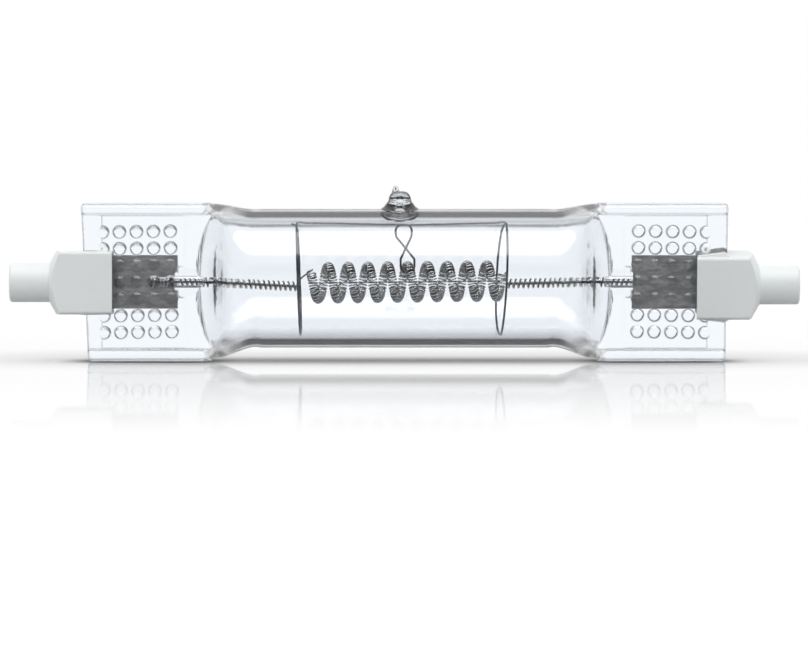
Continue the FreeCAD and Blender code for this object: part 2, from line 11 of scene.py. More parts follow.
# %% Load the frame
import bpy
import math
import numpy as np
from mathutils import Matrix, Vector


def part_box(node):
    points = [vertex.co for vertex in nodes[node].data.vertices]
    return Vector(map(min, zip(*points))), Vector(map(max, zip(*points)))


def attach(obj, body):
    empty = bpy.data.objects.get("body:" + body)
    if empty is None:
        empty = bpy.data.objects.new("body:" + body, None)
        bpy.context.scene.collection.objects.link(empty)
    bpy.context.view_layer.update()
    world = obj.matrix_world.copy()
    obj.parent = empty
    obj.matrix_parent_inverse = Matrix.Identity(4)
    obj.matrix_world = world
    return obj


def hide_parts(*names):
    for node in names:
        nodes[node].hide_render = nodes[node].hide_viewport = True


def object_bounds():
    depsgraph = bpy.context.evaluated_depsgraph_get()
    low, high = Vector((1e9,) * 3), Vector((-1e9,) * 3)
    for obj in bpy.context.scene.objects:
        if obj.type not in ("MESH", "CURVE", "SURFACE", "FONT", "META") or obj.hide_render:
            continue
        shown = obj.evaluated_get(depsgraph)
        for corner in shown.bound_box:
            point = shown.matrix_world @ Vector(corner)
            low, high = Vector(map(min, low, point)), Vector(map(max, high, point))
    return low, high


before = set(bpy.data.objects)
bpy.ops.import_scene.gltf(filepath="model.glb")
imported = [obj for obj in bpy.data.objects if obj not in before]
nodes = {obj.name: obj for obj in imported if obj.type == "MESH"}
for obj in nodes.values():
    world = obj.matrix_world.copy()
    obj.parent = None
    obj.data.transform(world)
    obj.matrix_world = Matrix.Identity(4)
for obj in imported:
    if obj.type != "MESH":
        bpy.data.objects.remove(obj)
MM = 0.001
cad_low, cad_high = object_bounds()
print("nodes", len(nodes), "size mm", [round(side / MM, 2) for side in cad_high - cad_low])

# %% [markdown]
# Shader maths reads best as plain expressions. A small class wraps one socket, and its operators add
# the Math nodes, so that 1 - mask or height * 0.4 can be written as in a formula. Two methods more give
# the soft steps and bands that most masks are made of.

# %% A socket with operators
class Sock:
    """One output socket of a node tree. Arithmetic on it adds Math nodes."""

    def __init__(self, tree, socket):
        self.tree = tree
        self.socket = socket

    def maths(self, operation, *values):
        return node(self.tree, "ShaderNodeMath", {"operation": operation}, *values)

    def __add__(self, other):
        return self.maths("ADD", self, other)

    def __mul__(self, other):
        return self.maths("MULTIPLY", self, other)

    def __sub__(self, other):
        return self.maths("SUBTRACT", self, other)

    def __rsub__(self, other):
        return self.maths("SUBTRACT", other, self)

    def __truediv__(self, other):
        return self.maths("DIVIDE", self, other)

    def __pow__(self, other):
        return self.maths("POWER", self, other)

    def __abs__(self):
        return self.maths("ABSOLUTE", self)

    __radd__ = __add__
    __rmul__ = __mul__

    def step(self, low, high):
        """0 below low, 1 above high and a smooth rise between."""
        limits = {"Value": self, "From Min": low, "From Max": high}
        return node(self.tree, "ShaderNodeMapRange", {"interpolation_type": "SMOOTHSTEP"}, **limits)

    def band(self, low, high, soft):
        """1 between low and high, with soft edges."""
        return self.step(low - soft, low + soft) * (1 - self.step(high - soft, high + soft))


# %% [markdown]
# Every node comes from one function, so the finishes below are short. It takes the node's kind, its
# settings and its socket values, and a value may be a number, a colour or another node's output.
# Smaller helpers read several outputs of one node, split a place into its coordinates, and mix two
# colours.

# %% Nodes
def put(tree, socket, value):
    """Links or sets one input socket."""
    if isinstance(value, Sock):
        tree.links.new(value.socket, socket)
    elif isinstance(value, (tuple, list)) and socket.type == "RGBA" and len(value) == 3:
        socket.default_value = (*value, 1.0)
    else:
        socket.default_value = value


def node(tree, kind, settings=None, *values, out=0, **named):
    """A new node of any kind: its settings, then its sockets by order or by name, and one output."""
    made = tree.nodes.new(kind)
    for key, value in (settings or {}).items():
        if key == "stops":
            for element, (place, colour) in zip(ramp_elements(made, len(value)), value):
                element.position = place
                element.color = (*colour, 1.0)
        else:
            setattr(made, key, value)
    for index, value in enumerate(values):
        put(tree, made.inputs[index], value)
    for key, value in named.items():
        put(tree, made.inputs[key], value)
    return Sock(tree, made.outputs[out])


def outputs(tree, kind, *names):
    """Several outputs of one new node, by name."""
    made = tree.nodes.new(kind)
    return [Sock(tree, made.outputs[name]) for name in names]


def split(tree, where):
    """The three coordinates of a place."""
    made = tree.nodes.new("ShaderNodeSeparateXYZ")
    put(tree, made.inputs[0], where)
    return [Sock(tree, socket) for socket in made.outputs]


def ramp_elements(made, count):
    """The colour ramp's stops, as many as asked for."""
    elements = made.color_ramp.elements
    while len(elements) < count:
        elements.new(1.0)
    return elements


def blend_colours(tree, factor, first, second):
    """Mixes two colours with a Mix node, whose colour sockets are found by number."""
    made = tree.nodes.new("ShaderNodeMix")
    made.data_type = "RGBA"
    put(tree, made.inputs[0], factor)
    put(tree, made.inputs[6], first)
    put(tree, made.inputs[7], second)
    return Sock(tree, made.outputs[2])


print("node helpers ready")

# %% [markdown]
# All finishes start the same way: a new material, its surface shader, and the few values that are the
# same all over the piece, set on the shader itself. What changes over the surface is linked afterwards.
# Grain, speckles and wear are noise over the piece's own coordinates, so they stay on the piece from
# every side and are the same in each run.

# %% Start a material
def finish(name, **constants):
    """A new material and its shader, on which the values that are the same all over are set."""
    material = bpy.data.materials.new(name)
    material.use_nodes = True
    tree = material.node_tree
    shader = tree.nodes["Principled BSDF"]
    for key, value in constants.items():
        put(tree, shader.inputs[key.replace("_", " ")], value)
    return material, tree, shader


def feed(tree, shader, **links):
    """Links what changes over the surface."""
    for key, value in links.items():
        put(tree, shader.inputs[key.replace("_", " ")], value)


def place_on_object(tree):
    """Where a point lies on the piece, in metres, the same for every view."""
    return node(tree, "ShaderNodeTexCoord", out="Object")


def noise(tree, where, scale, detail=2.0, roughness=0.5):
    """Soft random spots, as many to a metre as scale says."""
    sockets = {"Vector": where, "Scale": scale, "Detail": detail, "Roughness": roughness}
    return node(tree, "ShaderNodeTexNoise", None, **sockets)


def bump(tree, height, distance, strength, **more):
    """A rise and fall of the surface that only its shading shows."""
    return node(tree, "ShaderNodeBump", None, Strength=strength, Distance=distance, Height=height, **more)


print("material helpers ready")

# %% [markdown]
# The envelope is fused quartz. Light only bends in it, so it is seen by its edges: a thick wall shows
# dark and bright bands of whatever stands beside the bulb. One clear shader with quartz's index of
# refraction gives this. Four things are added to it. The pressed ends are a little wavy, as glass is that
# was pressed hot. Sharp edges are shaded as if they were slightly melted round. The tube's wall has
# painted shade: its colour is darker where it is seen edge on. This stands in for the dark band that the
# light in a real wall, coming from far aside, gives there. And in the corners of the shoulders, where the
# solid's crisp faces would catch the rays and go black, the glass lets half of them straight through,
# because the real corners are softer and show a light grey.

# %% Quartz
QUARTZ_IOR = 1.458
CLEAR = (0.985, 0.99, 1.0)
# The colour of the painted shade in the tube's wall where it is seen edge on.
EDGE_ON_PAINTED_SHADE = (0.04, 0.038, 0.04)
TUBE_AXIS_Z = cad_high.z - 16.72 * MM
TUBE_ENDS = (28 * MM, 34 * MM)
OUTER_SKIN = (11.2 * MM, 11.8 * MM)
DARK_STARTS = (0.46, 0.54)
DARK_ENDS = (0.70, 0.77)
PRESSED_STARTS = (26 * MM, 36 * MM)
CORNER_STARTS = (29.5 * MM, 32 * MM)
CORNER_ENDS = (35.5 * MM, 37 * MM)
CORNER_RISES = (10.8 * MM, 11.8 * MM)
CORNER_OPEN = 0.5
MELTED_EDGE = 0.4 * MM
WAVE_HEIGHT = 0.05 * MM
WAVES_PER_METRE = 240.0
WAVES_ON_TUBE = 0.2


def quartz_finish():
    """Clear glass. Lengths are measured from the middle, and heights from the tube's axis."""
    material, tree, shader = finish("quartz", Roughness=0.0, IOR=QUARTZ_IOR, Transmission_Weight=1.0)
    where = place_on_object(tree)
    x, y, z = split(tree, where)
    along = abs(x)
    up = z - TUBE_AXIS_Z
    waves_here = WAVES_ON_TUBE + (1 - WAVES_ON_TUBE) * along.step(*PRESSED_STARTS)
    waves = noise(tree, where, WAVES_PER_METRE) * waves_here
    skin = ((y * y + up * up) ** 0.5).step(*OUTER_SKIN) * (1 - along.step(*TUBE_ENDS))
    facing = node(tree, "ShaderNodeLayerWeight", None, out="Facing", Blend=0.5)
    # Painted shade: the glass's colour darkens where the tube's outer wall is seen edge on.
    edge_on = facing.step(*DARK_STARTS) * (1 - facing.step(*DARK_ENDS)) * skin
    colour = blend_colours(tree, edge_on, CLEAR, EDGE_ON_PAINTED_SHADE)
    melted = node(tree, "ShaderNodeBevel", {"samples": 4}, Radius=MELTED_EDGE)
    rounded = bump(tree, waves, WAVE_HEIGHT, 1.0, Normal=melted)
    corner = along.step(*CORNER_STARTS) * (1 - along.step(*CORNER_ENDS)) * abs(up).step(*CORNER_RISES)
    feed(tree, shader, Base_Color=colour, Normal=rounded, Alpha=1 - CORNER_OPEN * corner)
    return material


nodes["quartz_envelope"].data.materials[0] = quartz_finish()
print("quartz finish made, tube axis at mm", round(TUBE_AXIS_Z / MM, 2))

# %% [markdown]
# The caps are steatite, a pressed and fired ceramic: matt, and very faintly clouded. Fine noise in the
# colour and a shallow grain keep it from looking like plastic. The cement that holds each cap is
# rougher and lumpy, and shrinks as it dries. A Displace modifier takes that hair's breadth off it, so
# that its faces never lie exactly in the faces of the cap, which would show as black spots.

# %% Ceramic and cement
STEATITE_LOW = (0.79, 0.83, 0.83)
STEATITE_HIGH = (0.85, 0.88, 0.88)
CLOUDS_PER_METRE = 160.0
GRAINS_PER_METRE = 5200.0
GRAIN_HEIGHT = 0.03 * MM
STEATITE_ROUGHNESS = 0.42
CLOUD_ROUGHNESS = 0.16
CEMENT_LOW = (0.84, 0.85, 0.84)
CEMENT_HIGH = (0.93, 0.94, 0.93)
LUMPS_PER_METRE = 900.0
LUMP_HEIGHT = 0.3 * MM
CEMENT_ROUGHNESS = 0.75
LUMP_ROUGHNESS = 0.15
CEMENT_SHRINKAGE = 0.015 * MM


def ceramic_finish():
    material, tree, shader = finish("ceramic", IOR=1.5)
    where = place_on_object(tree)
    cloud = noise(tree, where, CLOUDS_PER_METRE, 3.0)
    grain = noise(tree, where, GRAINS_PER_METRE)
    colour = blend_colours(tree, cloud, STEATITE_LOW, STEATITE_HIGH)
    grained = bump(tree, grain, GRAIN_HEIGHT, 0.5)
    rough = STEATITE_ROUGHNESS + CLOUD_ROUGHNESS * cloud
    feed(tree, shader, Base_Color=colour, Roughness=rough, Normal=grained)
    return material


def cement_finish():
    material, tree, shader = finish("cement")
    where = place_on_object(tree)
    lumps = noise(tree, where, LUMPS_PER_METRE, 5.0, 0.65)
    colour = blend_colours(tree, lumps, CEMENT_LOW, CEMENT_HIGH)
    lumpy = bump(tree, lumps, LUMP_HEIGHT, 0.7)
    rough = CEMENT_ROUGHNESS + LUMP_ROUGHNESS * lumps
    feed(tree, shader, Base_Color=colour, Roughness=rough, Normal=lumpy)
    return material


ceramic = ceramic_finish()
cement = cement_finish()
for side in ("left", "right"):
    nodes[f"{side}_cap"].data.materials[0] = ceramic
    nodes[f"{side}_cement"].data.materials[0] = cement
    shrink = nodes[f"{side}_cement"].modifiers.new("shrink", "DISPLACE")
    shrink.strength = -CEMENT_SHRINKAGE
    shrink.mid_level = 0.0
print("ceramic and cement finishes made")

# %% [markdown]
# Tungsten and molybdenum wire is drawn through dies, so it has fine lines along it and a dark grey face
# that looks nearly black between its glints. A metal shader with uneven roughness and a very fine bump
# gives both. The same recipe, with other colours, makes the support wire, the leads and the nickel of the
# contacts. The filament's winding has a recipe of its own, which reads how far each side of the wire
# faces out of the coil and paints light and shade from it. The outer side is painted bright, and the side
# towards the coil's middle is painted near black, as the shade between the turns.

# %% Metals
PATCHES_PER_METRE = 700.0
PATCH_ROUGHNESS = 0.15
SCRATCHES_PER_METRE = 6000.0
SCRATCH_HEIGHT = 0.01 * MM
# The painted shade and the painted light of the winding.
TUNGSTEN_PAINTED_SHADE = (0.004, 0.004, 0.005)
TUNGSTEN_PAINTED_LIGHT = (0.75, 0.74, 0.73)
TUNGSTEN_ROUGHNESS = 0.16
PAINTED_LIGHT_LOW = 0.4
PAINTED_LIGHT_SPREAD = 0.8


def drawn(tree, where):
    """The very fine scratches of drawn wire."""
    return bump(tree, noise(tree, where, SCRATCHES_PER_METRE), SCRATCH_HEIGHT, 0.5)


def wire_finish(name, dark, light, roughness):
    material, tree, shader = finish(name, Metallic=1.0)
    where = place_on_object(tree)
    patches = noise(tree, where, PATCHES_PER_METRE, 3.0)
    colour = blend_colours(tree, patches, dark, light)
    rough = roughness + PATCH_ROUGHNESS * patches
    feed(tree, shader, Base_Color=colour, Roughness=rough, Normal=drawn(tree, where))
    return material


def winding_finish():
    """Wound wire with painted light and shade: its outer side is painted bright, and the side towards the
    coil's middle is painted near black.
    """
    material, tree, shader = finish("tungsten", Metallic=1.0)
    where = place_on_object(tree)
    # Painted light and shade: the side of the wire facing out of the coil is painted bright, and its
    # inner side near black.
    painted_light_side = node(tree, "ShaderNodeAttribute", {"attribute_name": "outer_side"}, out="Fac")
    patches = noise(tree, where, PATCHES_PER_METRE, 3.0)
    bright = painted_light_side.step(0.0, 1.0) * (PAINTED_LIGHT_LOW + PAINTED_LIGHT_SPREAD * patches)
    colour = blend_colours(tree, bright, TUNGSTEN_PAINTED_SHADE, TUNGSTEN_PAINTED_LIGHT)
    rough = TUNGSTEN_ROUGHNESS + PATCH_ROUGHNESS * patches
    feed(tree, shader, Base_Color=colour, Roughness=rough, Normal=drawn(tree, where))
    return material


tungsten = winding_finish()
support_metal = wire_finish("support_metal", (0.02, 0.021, 0.023), (0.09, 0.092, 0.098), 0.2)
lead_metal = wire_finish("lead_metal", (0.03, 0.03, 0.03), (0.09, 0.09, 0.09), 0.25)
contact_metal = wire_finish("contact_metal", (0.5, 0.49, 0.46), (0.68, 0.67, 0.64), 0.3)

nodes["support_wire"].data.materials[0] = support_metal
for side in ("left", "right"):
    nodes[f"{side}_lead_rod"].data.materials[0] = lead_metal
    nodes[f"{side}_outer_lead"].data.materials[0] = lead_metal
    nodes[f"{side}_contact"].data.materials[0] = contact_metal
print("wire finishes made")

# %% [markdown]
# The filament is one fine tungsten wire. It is wound close on a thin mandrel, and that coil is wound
# again, wide and open, which makes the body. At both ends the same wire goes on as a loose coil round a
# straight lead. A solid of this would be far too heavy for the frame, so there it is a smooth bar, and
# the winding is made here as one long swept wire. Its centre line is a formula: a small circle that
# runs round a big helix. The legs run level through their seals and slope down a little on the way to
# the body.

# %% The filament's centre line
BODY_PITCH = 3.59 * MM
BODY_MEAN_RADIUS = 2.9 * MM
BODY_START_X = -16.9 * MM
BODY_END_X = 17.86 * MM
BODY_START_ANGLE = math.radians(50)
BODY_MID_Z = 14.33 * MM
BODY_TILT = math.radians(0.63)
FINE_TURNS_PER_TURN = 32.0
FINE_WIRE = 0.3 * MM
FINE_RADIUS = 0.78 * MM
STEPS_PER_FINE_TURN = 16
LEG_COIL_RADIUS = 0.8 * MM
LEG_COIL_PITCH = 0.89 * MM
STEPS_PER_LEG_TURN = 18
LEG_BEND_X = 36.5 * MM


def body_winding():
    """Points of the body's wire, from left to right."""
    turns = (BODY_END_X - BODY_START_X) / BODY_PITCH
    count = int(turns * FINE_TURNS_PER_TURN * STEPS_PER_FINE_TURN)
    turn = np.linspace(0.0, turns, count)
    angle = BODY_START_ANGLE + 2 * math.pi * turn
    x = BODY_START_X + BODY_PITCH * turn
    axis_z = BODY_MID_Z + (x - (BODY_START_X + BODY_END_X) / 2) * math.tan(BODY_TILT)
    outwards = np.stack([np.zeros(count), -np.sin(angle), np.cos(angle)], 1)
    slope = BODY_PITCH / (2 * math.pi * BODY_MEAN_RADIUS)
    onwards = np.stack([np.full(count, slope), -np.cos(angle), -np.sin(angle)], 1)
    onwards /= np.linalg.norm(onwards, axis=1)[:, None]
    sideways = np.cross(onwards, outwards)
    centre = np.stack([x, np.zeros(count), axis_z], 1) + BODY_MEAN_RADIUS * outwards
    fine = 2 * math.pi * FINE_TURNS_PER_TURN * turn
    spoke = np.cos(fine)[:, None] * outwards + np.sin(fine)[:, None] * sideways
    return centre + FINE_RADIUS * spoke, spoke


def leg_winding(side):
    """Points of one leg's wire, from its outer end to the body, wound round the lead rod."""
    low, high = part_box(f"{side}_lead_rod")
    rod_radius = (high.y - low.y) / 2
    sign = -1 if side == "left" else 1
    outer_x = sign * max(abs(low.x), abs(high.x))
    inner_x = sign * min(abs(low.x), abs(high.x))
    level_z = high.z - rod_radius
    drop = level_z - (low.z + rod_radius)
    bend_x = sign * LEG_BEND_X
    turns = abs(outer_x - inner_x) / LEG_COIL_PITCH
    count = int(turns * STEPS_PER_LEG_TURN)
    x = np.linspace(outer_x, inner_x, count)
    z = level_z - drop * np.clip((bend_x - x) / (bend_x - inner_x), 0.0, 1.0)
    angle = 2 * math.pi * np.linspace(0.0, turns, count)
    spoke = np.stack([np.zeros(count), np.sin(angle), np.cos(angle)], 1)
    return np.stack([x, np.zeros(count), z], 1) + LEG_COIL_RADIUS * spoke, spoke


def tail_between(first, second, steps=24):
    """A smooth plain stretch of wire from the end of one winding to the start of the next."""
    start, end = first[-1], second[0]
    start_way = first[-1] - first[-2]
    end_way = second[1] - second[0]
    reach = np.linalg.norm(end - start)
    start_way *= reach / np.linalg.norm(start_way)
    end_way *= reach / np.linalg.norm(end_way)
    t = np.linspace(0.0, 1.0, steps + 2)[1:-1, None]
    return ((2 * t ** 3 - 3 * t ** 2 + 1) * start + (t ** 3 - 2 * t ** 2 + t) * start_way
            + (3 * t ** 2 - 2 * t ** 3) * end + (t ** 3 - t ** 2) * end_way)


body, body_spokes = body_winding()
left_leg, left_spokes = leg_winding("left")
right_leg, right_spokes = (part[::-1] for part in leg_winding("right"))
left_tail = tail_between(left_leg, body)
right_tail = tail_between(body, right_leg)
# The tails are painted bright on top, as if lit from above.
tail_lit_from_above = np.tile((0.0, 0.0, 1.0), (len(left_tail), 1))
wire_line = np.concatenate([left_leg, left_tail, body, right_tail, right_leg])
painted_light_way = np.concatenate([left_spokes, tail_lit_from_above, body_spokes, tail_lit_from_above, right_spokes])
wire_length = np.linalg.norm(np.diff(wire_line, axis=0), axis=1).sum()
print("filament wire m", round(float(wire_length), 3), "points", len(wire_line))

# %% [markdown]
# A swept wire needs a ring of points round every point of its line, and the rings must not twist. Each
# ring's first direction is carried on from the ring before and turned only as far as the line itself
# turns. The mesh also keeps how far each corner faces out of the coil, or up on the tails, for the
# painted light and shade of the finish.

# %% Sweep the wire
def sweep(name, line, painted_light_way, radius, sides, material):
    """A round wire along a line, with closed ends. It keeps how far each corner faces the way that the
    finish paints bright.
    """
    ways = np.gradient(line, axis=0)
    ways /= np.linalg.norm(ways, axis=1)[:, None]
    across = np.cross(ways[0], (0.0, 0.0, 1.0))
    across /= np.linalg.norm(across)
    rings = np.empty((len(line), sides, 3))
    facing = np.empty((len(line), sides))
    angles = np.linspace(0.0, 2 * math.pi, sides, endpoint=False)
    for index, way in enumerate(ways):
        across = across - way * across.dot(way)
        across /= np.linalg.norm(across)
        spokes = np.cos(angles)[:, None] * across + np.sin(angles)[:, None] * np.cross(way, across)
        rings[index] = line[index] + radius * spokes
        facing[index] = spokes @ painted_light_way[index]
    faces = []
    for ring in range(len(line) - 1):
        for corner in range(sides):
            after = (corner + 1) % sides
            base = ring * sides
            faces.append((base + corner, base + after, base + sides + after, base + sides + corner))
    last = (len(line) - 1) * sides
    faces.append(tuple(range(sides))[::-1])
    faces.append(tuple(range(last, last + sides)))
    mesh = bpy.data.meshes.new(name)
    mesh.from_pydata(rings.reshape(-1, 3).tolist(), [], faces)
    mesh.polygons.foreach_set("use_smooth", [True] * (len(faces) - 2) + [False] * 2)
    mesh.materials.append(material)
    layer = mesh.attributes.new("outer_side", "FLOAT", "POINT")
    layer.data.foreach_set("value", facing.reshape(-1))
    made = bpy.data.objects.new(name, mesh)
    bpy.context.scene.collection.objects.link(made)
    return made


WIRE_SIDES = 8
winding = sweep("filament_winding", wire_line, painted_light_way, FINE_WIRE / 2, WIRE_SIDES, tungsten)
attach(winding, "root")
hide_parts("filament")
print("filament triangles", sum(len(p.vertices) - 2 for p in winding.data.polygons))

# %% [markdown]
# The foils are molybdenum, a few hundredths of a millimetre thick. The hot press creases them, its
# dimples mark them, and the lead welded behind each one shows through as a soft ridge. A flat plate
# would look printed, so each foil is made again here as a fine grid with these heights, on both of its
# faces. Towards its rim it is flat, and a hair thicker than the slit that the quartz keeps for it, so
# that no air shows between the two.

# %% Foils
FOIL_COVER = 0.012 * MM
CREASE_HEIGHT = 0.05 * MM
CREASE_WAVES = [(1.0, 900, 500, 0.0), (0.8, 430, -1100, 1.3), (0.5, 1900, 1500, 0.4)]
LEAD_RIDGE_HEIGHT = 0.09 * MM
LEAD_RIDGE_HALF = 0.9 * MM
DIMPLE_COLUMNS = 5
DIMPLE_FIRST = 1.1 * MM
DIMPLE_PITCH_X = 3.07 * MM
DIMPLE_PITCH_Z = 3.03 * MM
DIMPLE_RADIUS = 0.85 * MM
DIMPLE_HEIGHT = 0.24 * MM
FLAT_EDGE_SHARE = 0.08
STREAKS_PER_METRE = 420.0
STREAK_FLATNESS = 2.5
STREAK_HEIGHT = 0.35 * MM
STREAK_RANGE = (0.35, 0.75)
SPECKS_PER_METRE = 3000.0
FOIL_DARK = (0.22, 0.22, 0.22)
FOIL_BRIGHT = (0.4, 0.4, 0.4)
FOIL_ROUGHNESS = 0.34
SPECK_ROUGHNESS = 0.2
FOIL_COLUMNS = 108
FOIL_ROWS = 72


def foil_finish():
    material, tree, shader = finish("foil_metal", Metallic=1.0)
    where = place_on_object(tree)
    flat = (1.0, 1.0, STREAK_FLATNESS)
    stretched = node(tree, "ShaderNodeVectorMath", {"operation": "MULTIPLY"}, where, flat)
    streaks = noise(tree, stretched, STREAKS_PER_METRE, 4.0, 0.6)
    fine = noise(tree, where, SPECKS_PER_METRE)
    colour = blend_colours(tree, streaks.step(*STREAK_RANGE), FOIL_DARK, FOIL_BRIGHT)
    streaky = bump(tree, streaks, STREAK_HEIGHT, 0.8)
    rough = FOIL_ROUGHNESS + SPECK_ROUGHNESS * fine
    feed(tree, shader, Base_Color=colour, Roughness=rough, Normal=streaky)
    return material


def creases(x, z):
    """Height of the foil's creases, a few long waves that cross, from -1 to 1."""
    waves = sum(size * np.sin(x * along + z * up + shift) for size, along, up, shift in CREASE_WAVES)
    return waves / sum(wave[0] for wave in CREASE_WAVES)


def dimples(from_inner_end, z):
    """Height that the press tool's dimples give the foil."""
    height = np.zeros_like(z)
    for column in range(DIMPLE_COLUMNS):
        for row in (-1, 0, 1):
            along = from_inner_end - DIMPLE_FIRST - column * DIMPLE_PITCH_X
            height += np.exp(-(along ** 2 + (z - row * DIMPLE_PITCH_Z) ** 2) / DIMPLE_RADIUS ** 2)
    return DIMPLE_HEIGHT * height


def creased_foil(side, material):
    """One foil as a closed thin grid that covers its slit."""
    low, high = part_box(f"{side}_foil")
    middle_y = (low.y + high.y) / 2
    half = (high.y - low.y) / 2 + FOIL_COVER
    x, z = np.meshgrid(np.linspace(low.x, high.x, FOIL_COLUMNS), np.linspace(low.z, high.z, FOIL_ROWS))
    middle_z = (low.z + high.z) / 2
    edge = np.minimum.reduce([x - low.x, high.x - x, z - low.z, high.z - z]) / (high.z - low.z)
    fade = np.clip(edge / FLAT_EDGE_SHARE, 0.0, 1.0)
    rise = CREASE_HEIGHT * 0.5 * (creases(x, z) + 1) * fade
    rise += LEAD_RIDGE_HEIGHT * np.exp(-((z - middle_z) / LEAD_RIDGE_HALF) ** 2) * fade
    rise += dimples(high.x - x if side == "left" else x - low.x, z - middle_z) * fade
    front = np.stack([x, middle_y - half - rise, z], 2).reshape(-1, 3)
    back = np.stack([x, middle_y + half + rise, z], 2).reshape(-1, 3)
    count = FOIL_COLUMNS * FOIL_ROWS
    faces = []
    for row in range(FOIL_ROWS - 1):
        for column in range(FOIL_COLUMNS - 1):
            a = row * FOIL_COLUMNS + column
            b = a + FOIL_COLUMNS
            faces.append((a, a + 1, b + 1, b))
            faces.append((count + a, count + b, count + b + 1, count + a + 1))
    rim = list(range(FOIL_COLUMNS))
    rim += [row * FOIL_COLUMNS + FOIL_COLUMNS - 1 for row in range(1, FOIL_ROWS)]
    rim += [(FOIL_ROWS - 1) * FOIL_COLUMNS + column for column in range(FOIL_COLUMNS - 2, -1, -1)]
    rim += [row * FOIL_COLUMNS for row in range(FOIL_ROWS - 2, 0, -1)]
    for index, a in enumerate(rim):
        b = rim[(index + 1) % len(rim)]
        faces.append((b, a, count + a, count + b))
    name = f"{side}_creased_foil"
    mesh = bpy.data.meshes.new(name)
    mesh.from_pydata(np.concatenate([front, back]).tolist(), [], faces)
    mesh.polygons.foreach_set("use_smooth", [True] * (len(faces) - len(rim)) + [False] * len(rim))
    mesh.materials.append(material)
    made = bpy.data.objects.new(name, mesh)
    bpy.context.scene.collection.objects.link(made)
    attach(made, "root")
    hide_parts(f"{side}_foil")
    return made


foil_metal = foil_finish()
for side in ("left", "right"):
    print(creased_foil(side, foil_metal).name, "made")

# %% [markdown]
# The table is a large white sheet with a gloss that fades away from the bulb. A clear bulb throws a
# shadow that is faint at its sides and close to black where its beads touch, and the soft light of this
# room alone would leave neither. So the shadow is painted: the table's colour darkens towards the line
# where the bulb stands and goes near black under the beads, and its gloss is weaker there. The share of
# white that makes it a plain pale background fades there too. Seen through the bulb's glass, the table
# has painted shade in grey blue, and a little further off it gives way to the plain room.

# %% Table
FLOOR_RADIUS = 3.0
FLOOR_CORNERS = 96
FLOOR_GREY = (0.355, 0.355, 0.355)
# Painted shadow colours: near the bulb's line, and near black under its beads.
PAINTED_SHADOW_GREY = (0.2, 0.2, 0.205)
PAINTED_BEAD_SHADOW = (0.02, 0.02, 0.02)
PAINTED_SHADOW_UNDER_BEAD = (0.05, 0.05, 0.055)
NO_COLOUR = (0.0, 0.0, 0.0)
WHITE = (1.0, 1.0, 1.0)
GLOW = 0.62
GLOW_IN_SHADOW = 0.12
GLOW_LOST_IN_BEAD_SHADOW = 0.97
PAINTED_SHADOW_UNDER_BEAD_SHARE = 0.4
BULB_HALF_LENGTH = 40 * MM
SHADOW_BACK = 12 * MM
SHADOW_REACH = 75 * MM
CLOSE_REACH = (3 * MM, 35 * MM)
BEAD_START = 34 * MM
BEAD_END = 58.5 * MM
BEAD_SOFT = 5 * MM
BEAD_SIDES = (3 * MM, 17 * MM)
MIRROR_REACH = (40 * MM, 330 * MM)
MIRROR_SHARE = 0.7
MIRROR_LOST_IN_SHADOW = 0.5
MIRROR_IOR = 1.5
MIRROR_ROUGHNESS = 0.03
UNDER_REACH = 26 * MM
UNDER_FADES = (19 * MM, UNDER_REACH)
# Painted shade: the grey-blue table that the glass shows near the bulb.
PAINTED_SHADE_UNDER_BULB = [(0.0, (0.5, 0.51, 0.53)), (0.2, (0.56, 0.575, 0.6)), (0.4, (0.7, 0.72, 0.76)),
              (0.7, (0.8, 0.83, 0.87)), (1.0, (0.86, 0.9, 0.95))]


def distance(past_end, y):
    """How far a point lies from the middle line of the bulb, or from its end."""
    return (past_end * past_end + y * y) ** 0.5


def mix_shaders(tree, factor, first, second):
    """Mixes two surface shaders with a Mix Shader node."""
    return node(tree, "ShaderNodeMixShader", None, factor, first, second)


